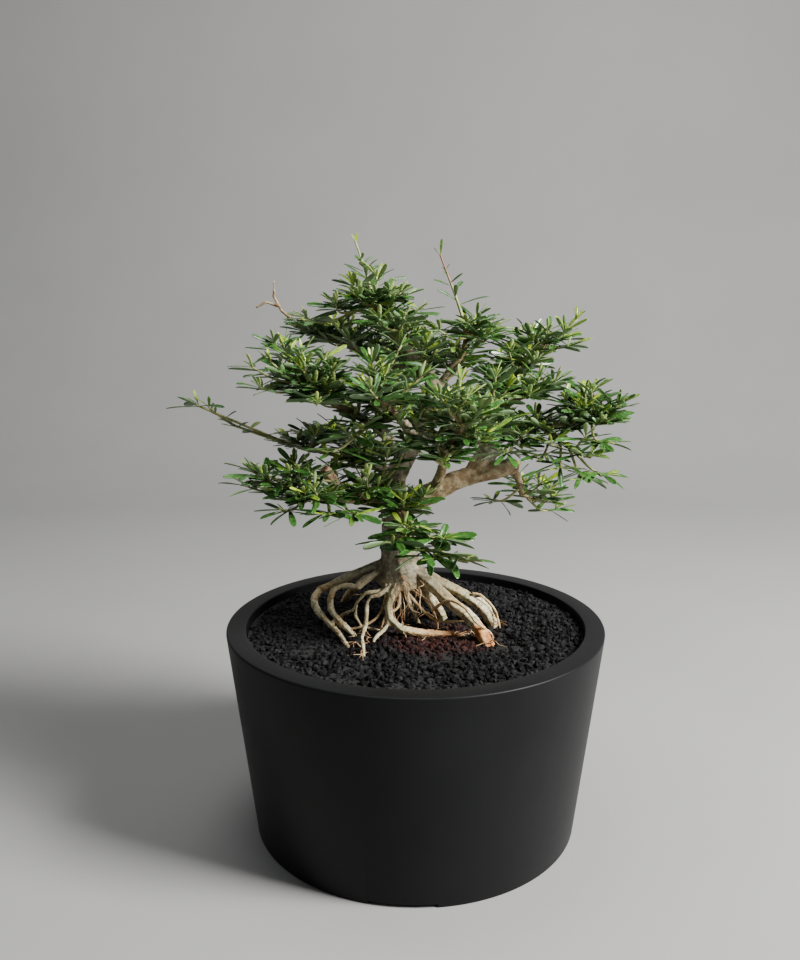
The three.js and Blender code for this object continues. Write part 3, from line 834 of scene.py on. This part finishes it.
# half the width at a share of the length: a slim foot, widest past the middle and a round tip
def bladeWidth(t):
    return 0.12 * (1 - t) ** 3 + 1.56 * t ** 0.85 * (1 - t ** 4) ** 0.62


# rows of points across a blade, each with its upper side and its share of the length and half width
def bladeRows(foot, along, across, upper, length, width, arch, twist):
    s = leafShape
    rows = []
    for t in s["stations"]:
        angle = twist * t
        side = across * math.cos(angle) + upper * math.sin(angle)
        top = upper * math.cos(angle) - across * math.sin(angle)
        middle = foot + along * length * (t - 0.35 * arch ** 2 * t ** 3) - upper * length * arch * t ** 2
        half = width / 2 * bladeWidth(t)
        row = []
        for u in s["across"]:
            fold = top * half * s["fold"] * abs(u) ** 1.4
            row.append((middle + side * half * u + fold, top, t, u))
        rows.append(row)
    return rows


# adds one leaf in the frame of its foot: along, across and upper are unit vectors
def growBlade(mesh, foot, along, across, upper, length, width, arch, twist, tone):
    rows = bladeRows(foot, along, across, upper, length, width, arch, twist)
    base = len(mesh["vertices"])
    for under, way in ((0, 1), (1, -1)):
        for point, top, t, u in [corner for row in rows for corner in row]:
            rim = 1 - 0.7 * abs(u)
            mesh["vertices"].append(point + top * way * leafShape["thickness"] / 2 * rim)
            mesh["paint"].append((tone, under, t, abs(u)))
    closeBlade(mesh["faces"], base, len(rows), len(rows[0]))


# the faces of a blade: its upper and lower sides, its two edges and its two ends
def closeBlade(faces, base, rows, columns):
    below = base + rows * columns
    for i in range(rows - 1):
        for k in range(columns - 1):
            a = base + i * columns + k
            faces.append((a, a + columns, a + columns + 1, a + 1))
            b = below + i * columns + k
            faces.append((b, b + 1, b + columns + 1, b + columns))
        for k, flip in ((0, False), (columns - 1, True)):
            a, b = base + i * columns + k, below + i * columns + k
            ring = (a, b, b + columns, a + columns)
            faces.append(tuple(reversed(ring)) if flip else ring)
    for i, flip in ((0, True), (rows - 1, False)):
        for k in range(columns - 1):
            a, b = base + i * columns + k, below + i * columns + k
            ring = (a, b, b + 1, a + 1)
            faces.append(tuple(reversed(ring)) if flip else ring)


# the sum of the angles at each corner of a mesh, and the corners next to it
def cornerAngles(corners, triangles):
    spread = np.zeros(len(corners))
    around = [set() for _ in corners]
    for triangle in triangles.tolist():
        for i in range(3):
            here, b, c = triangle[i], triangle[i - 2], triangle[i - 1]
            u, v = corners[b] - corners[here], corners[c] - corners[here]
            cosine = np.dot(u, v) / (np.linalg.norm(u) * np.linalg.norm(v) + 1e-12)
            spread[here] += math.acos(max(-1, min(1, cosine)))
            around[here] |= {b, c}
    return spread, around


# a packed blade from its tip and the two corners where it is widest, or None if it is no blade
def bladeAt(end, left, right):
    s = leafShape
    across = (left - right).normalized()
    back = (left + right) / 2 - end
    if back.length < s["packedLeast"] or abs((left - end).length - (right - end).length) > s["packedUneven"]:
        return None
    run = math.sqrt(max(back.length ** 2 - s["packedKeel"] ** 2, 1e-12))
    length = run / (1 - s["widestAt"])
    normal = across.cross(back).normalized()
    if normal.z < 0:
        normal = -normal
    tilt = math.atan2(s["packedKeel"], run)
    along = -(back.normalized() * math.cos(tilt) - normal * math.sin(tilt))
    return {"foot": end - along * length, "along": along, "length": length}


# the corners of a packed shoot and its blades, found by their sharp tips
def packedBlades(name):
    corners, triangles = nodeMesh(name)
    spread, around = cornerAngles(corners, triangles)
    blades = []
    for tip in np.nonzero(spread < leafShape["packedTip"])[0]:
        near = sorted(around[tip], key=lambda k: np.linalg.norm(corners[k] - corners[tip]))[:2]
        blade = bladeAt(Vector(corners[tip]), Vector(corners[near[0]]), Vector(corners[near[1]]))
        if blade:
            blades.append(blade)
    return corners, blades


def leafFinish():
    f = Finish("glossyLeaf", Specular_IOR_Level=0.7)
    tone = f.painted("leafPaint", 0)
    under = f.painted("leafPaint", 1)
    along = f.painted("leafPaint", 2)
    blotch = f.noise(500, 3)
    dark = f.mixed(f.step(blotch, 0.35, 0.7), (0.022, 0.078, 0.012), (0.052, 0.15, 0.026))
    fresh = f.mixed(f.step(blotch, 0.35, 0.7), (0.3, 0.47, 0.02), (0.58, 0.7, 0.05))
    colour = f.mixed(f.step(tone, 0.38, 1), dark, fresh)
    colour = f.mixed((1 - f.step(along, 0, 0.25)) * 0.5, colour, (0.2, 0.28, 0.09))
    pale = f.mixed(f.step(tone, 0.4, 1), (0.12, 0.2, 0.08), (0.36, 0.46, 0.12))
    f.set("Base Color", f.mixed(under, colour, pale))
    f.set("Roughness", 0.17 + under * 0.3 + blotch * 0.12)
    f.bump(blotch, 0.1 * mm, 0.35)
    return f.material


def stemFinish():
    f = Finish("greenStem", Roughness=0.5)
    green = f.mixed(f.step(f.noise(300, 3), 0.35, 0.65), (0.2, 0.24, 0.06), (0.42, 0.4, 0.17))
    redness = f.step(f.painted("leafPaint", 0), 0.4, 0.9)
    f.set("Base Color", f.mixed(redness, green, (0.24, 0.085, 0.04)))
    f.bump(f.noise(1200, 2), 0.1 * mm)
    return f.material


# a leaf with the small differences that no two leaves share
def growLeaf(mesh, rng, foot, along, length, tone, broad=1):
    along = (along + up * rng.normal(0, 0.1)).normalized()
    across = Matrix.Rotation(rng.normal(0, 0.45), 3, along) @ up.cross(along).normalized()
    length *= broad ** 0.5
    width = leafShape["width"] * broad * rng.uniform(0.8, 1.15) * (length / leafShape["length"]) ** 0.5
    tone = min(1, max(0, tone + rng.uniform(0, 0.3)))
    growBlade(mesh, foot, along, across, along.cross(across), length * rng.uniform(0.9, 1.08), width,
              rng.uniform(-0.03, 0.14), rng.normal(0, 0.25), tone)


# small pale new leaves that stand round the tip of a shoot
def growYoungLeaves(mesh, rng, tip, heading, count):
    s = leafShape
    for k in range(count):
        angle = k * s["turn"] + rng.uniform(0, 1)
        sideways = Vector((math.cos(angle), math.sin(angle), 0)) * rng.uniform(0.25, 0.9)
        along = (heading + up * 0.6 + sideways).normalized()
        across = up.cross(along).normalized()
        foot = tip - heading * rng.uniform(0.5, 2) * mm
        length = rng.uniform(*s["youngLength"])
        width = rng.uniform(*s["youngWidth"])
        arch = rng.uniform(0, 0.1)
        tone = rng.uniform(*s["youngTone"])
        growBlade(mesh, foot, along, across, along.cross(across), length, width, arch, 0, tone)


# leaves round a line by the golden angle, nearly level, the lowest the longest
def growWhorl(mesh, rng, line, count, freshness, lift=0.05, broad=1):
    heading = (line[-1] - line[0]).normalized()
    turn = rng.uniform(0, 2 * math.pi)
    for k in range(count):
        share = k / (count - 1)
        angle = turn + k * leafShape["turn"]
        level = Vector((math.cos(angle), math.sin(angle), lift + 0.45 * share ** 3))
        foot = line[0].lerp(line[-1], 0.25 + 0.75 * share)
        length = leafShape["length"] * (1 - 0.3 * share ** 2)
        tone = freshness + 0.4 * share ** 4
        growLeaf(mesh, rng, foot, (level + heading * 0.3).normalized(), length, tone, broad)
    growYoungLeaves(mesh, rng, line[-1], heading, 3)


# a short side shoot that leaves the twig behind the seat and bears a whorl of its own
def growSideSpray(mesh, stems, rng, woodTree, seat, heading):
    s = leafShape
    anchor = woodTree.find_nearest(seat - heading * rng.uniform(*s["sideBack"]))[0]
    angle = rng.uniform(0, 2 * math.pi)
    away = Vector((math.cos(angle), math.sin(angle), 0))
    away -= heading * away.dot(heading) * 0.7
    away = (away + heading * 0.35 + up * rng.uniform(-0.1, 0.6)).normalized()
    length = rng.uniform(*s["sideLength"])
    tip = anchor + (away + up * 0.2) * length
    line = smoothLine([anchor - away * 0.6 * mm, anchor + away * length * 0.5, tip], 3)
    stems.append((line, *s["sideRadii"]))
    growWhorl(mesh, rng, line, s["sideLeaves"], rng.uniform(0, s["freshest"]["side"]) ** 2)


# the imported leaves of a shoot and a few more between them. A whip has only small ones towards its tip.
def growPackedLeaves(mesh, rng, name, blades):
    s = leafShape
    whip = name in s["whips"]
    broad = s["broad"].get(name, 1)
    freshness = rng.uniform(0, s["freshest"]["packed"]) ** 2
    for i, blade in enumerate(blades):
        length = blade["length"]
        if whip:
            length *= 0.95 - 0.65 * i / len(blades)
        growLeaf(mesh, rng, blade["foot"], blade["along"], length, freshness, broad)
        if not whip and rng.uniform(0, 1) < s["extra"]:
            ahead = blades[min(i + 1, len(blades) - 1)]["foot"]
            along = Matrix.Rotation(rng.uniform(1.6, 2.6), 3, "Z") @ blade["along"]
            growLeaf(mesh, rng, blade["foot"].lerp(ahead, 0.5), along, length * 0.92, freshness, broad)


# side shoots that have a place of their own
def growOwnSprays(mesh, stems, rng, woodTree, name):
    s = leafShape
    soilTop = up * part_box("soil")[1].z
    for owner, first, last, count in sprays:
        if name == "shoot_" + owner:
            first, last = soilTop + Vector(first) * mm, soilTop + Vector(last) * mm
            sag = first.lerp(last, 0.5) - up * (last - first).length * 0.12
            spray = smoothLine([woodTree.find_nearest(first)[0], sag, last], 5)
            stems.append((spray, *s["sprayRadii"]))
            freshness = rng.uniform(0, s["freshest"]["own"]) ** 2
            growWhorl(mesh, rng, spray[5:], count, freshness, -0.1, s["broad"].get(name, 1.05))


# tubes round the stems of a shoot, painted redder towards the tip on the red whip
def growStems(mesh, stems, name):
    sides = leafShape["stemSides"]
    reddest = 1 if name == leafShape["redWhip"] else 0
    for stem, first, last in stems:
        tubeMesh(stem, np.linspace(first, last, len(stem)), sides, mesh["vertices"], mesh["faces"])
        for share in np.linspace(0, 1, len(stem)):
            mesh["paint"] += [(reddest * share, 0, 1, 0)] * sides


# the line of a packed stem: where it sits on the wood, the feet of its blades in order, and its tip
def stemLine(corners, blades, woodTree):
    gaps = np.array([woodTree.find_nearest(Vector(corner))[3] for corner in corners])
    seat = Vector(corners[gaps <= gaps.min() + 0.4 * mm].mean(0))
    blades.sort(key=lambda blade: (blade["foot"] - seat).length)
    line = [seat]
    for blade in blades:
        if (blade["foot"] - line[-1]).length > 0.8 * mm:
            line.append(blade["foot"])
    heading = (line[-1] - line[-2]).normalized()
    return [*line, stemTip(corners, line, heading)]


def growShoot(name, woodTree, rng, leafMaterial, stemMaterial):
    s = leafShape
    whip = name in s["whips"]
    corners, blades = packedBlades(name)
    line = stemLine(corners, blades, woodTree)
    seat, end = line[0], line[-1]
    start = (line[min(2, len(line) - 2)] - seat).normalized()
    heading = (line[-2] - line[-3]).normalized()
    mesh = {"vertices": [], "faces": [], "paint": []}
    stems = [(smoothLine([seat - start * 1.2 * mm, *line], 3), *s["stemRadii"])]
    growPackedLeaves(mesh, rng, name, blades)
    growYoungLeaves(mesh, rng, end, heading, 2 if whip else s["young"])
    for _ in range(1 if whip else s["sideSprays"]):
        growSideSpray(mesh, stems, rng, woodTree, seat, start)
    growOwnSprays(mesh, stems, rng, woodTree, name)
    leafFaces = len(mesh["faces"])
    growStems(mesh, stems, name)
    shoot = newPiece(name.replace("shoot_", "leaves_"), mesh["vertices"], mesh["faces"], leafMaterial)
    shoot.data.materials.append(stemMaterial)
    for polygon in shoot.data.polygons[leafFaces:]:
        polygon.material_index = 1
    paintCorners(shoot.data, "leafPaint", mesh["paint"])
    place(shoot, "foliage", name)


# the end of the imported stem: its farthest corner that lies close to the stem's own line
def stemTip(corners, line, heading):
    reach = leafShape["tipReach"]
    best = line[-1] + heading * reach
    for corner in corners:
        step = Vector(corner) - line[-1]
        ahead = step.dot(heading)
        if (step - heading * ahead).length < reach and ahead > (best - line[-1]).length:
            best = line[-1] + heading * ahead
    return best


def makeShoots(woodTree):
    rng = np.random.default_rng(leafShape["seed"])
    leafMaterial, stemMaterial = leafFinish(), stemFinish()
    names = sorted(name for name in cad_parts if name.startswith("shoot_"))
    for name in names:
        growShoot(name, woodTree, rng, leafMaterial, stemMaterial)
    print("shoots:", len(names))


stage = {
    "width": 5.12,
    "front": -1.6,  # the floor's nearest edge
    "sweepStart": 0.75,
    "sweepRadius": 0.5,
    "sweepSteps": 12,
    "wallHeight": 2.2,
}


def floorFinish():
    f = Finish("paleFloor", Roughness=0.85)
    f.set("Base Color", f.mixed(f.noise(6, 4), (0.26, 0.26, 0.256), (0.3, 0.3, 0.296)))
    return f.material


# a floor that curves up into a wall behind the tree
def makeStage():
    s = stage
    radius = s["sweepRadius"]
    line = [(s["front"], 0), (s["sweepStart"], 0)]
    for i in range(1, s["sweepSteps"] + 1):
        angle = math.pi / 2 * i / s["sweepSteps"]
        line.append((s["sweepStart"] + radius * math.sin(angle), radius * (1 - math.cos(angle))))
    line.append((s["sweepStart"] + radius, s["wallHeight"]))
    vertices = [(x, y, z) for y, z in line for x in (-s["width"] / 2, s["width"] / 2)]
    faces = [(2 * i, 2 * i + 1, 2 * i + 3, 2 * i + 2) for i in range(len(line) - 1)]
    floor = newPiece("floorSweep", vertices, faces, floorFinish())


# area lights: spot, what they face, width and height in metres, power in watts and colour
lamps = {
    "windowLight": ((1.05, -0.45, 0.95), (0, 0, 0.2), (0.45, 0.65), 78, (1, 0.985, 0.96)),
    "frontFill": ((-0.9, -1.1, 0.9), (0, 0, 0.2), (1.2, 1), 1.2, (0.96, 0.98, 1)),
    "overhead": ((-0.1, 0.15, 1.3), (0, 0, 0.15), (0.6, 0.5), 7, (1, 1, 1)),
}
skyLight = {"Color": (0.8, 0.82, 0.85, 1), "Strength": 0.12}


def makeLight(name, spot, aim, size, power, colour):
    lamp = bpy.data.lights.new(name, "AREA")
    lamp.shape = "RECTANGLE"
    lamp.size, lamp.size_y = size
    lamp.energy = power
    lamp.color = colour
    lit = bpy.data.objects.new(name, lamp)
    bpy.context.scene.collection.objects.link(lit)
    lit.location = spot
    lit.rotation_euler = (Vector(aim) - Vector(spot)).to_track_quat("-Z", "Y").to_euler()


def makeLights():
    for name, settings in lamps.items():
        makeLight(name, *settings)
    world = bpy.data.worlds.new("studio")
    world.use_nodes = True
    for socket, value in skyLight.items():
        world.node_tree.nodes["Background"].inputs[socket].default_value = value
    bpy.context.scene.world = world


view = {
    "place": (-7.9 * mm, -473 * mm, 281.3 * mm),
    "pitch": 11.233,
    "roll": -0.135,
    "lens": 34.75,
    "sensor": 36,
    "nearest": 0.01,
}


def makeCamera():
    lens = bpy.data.cameras.new("camera")
    lens.lens = view["lens"]
    lens.sensor_width = view["sensor"]
    lens.clip_start = view["nearest"]
    camera = bpy.data.objects.new("camera", lens)
    bpy.context.scene.collection.objects.link(camera)
    tilt = Matrix.Rotation(math.radians(90 - view["pitch"]), 4, "X")
    roll = Matrix.Rotation(math.radians(view["roll"]), 4, "Z")
    camera.matrix_world = Matrix.Translation(view["place"]) @ tilt @ roll
    bpy.context.scene.camera = camera


makeCamera()
makeLights()
makeStage()
makePot()
finishScreens()
print("pot done")
woodMaterial = woodFinish()
woodTree = makeWood(woodMaterial)
makeThinRoots(woodMaterial)
makeGrains(woodTree)
print("soil done")
makeShoots(woodTree)
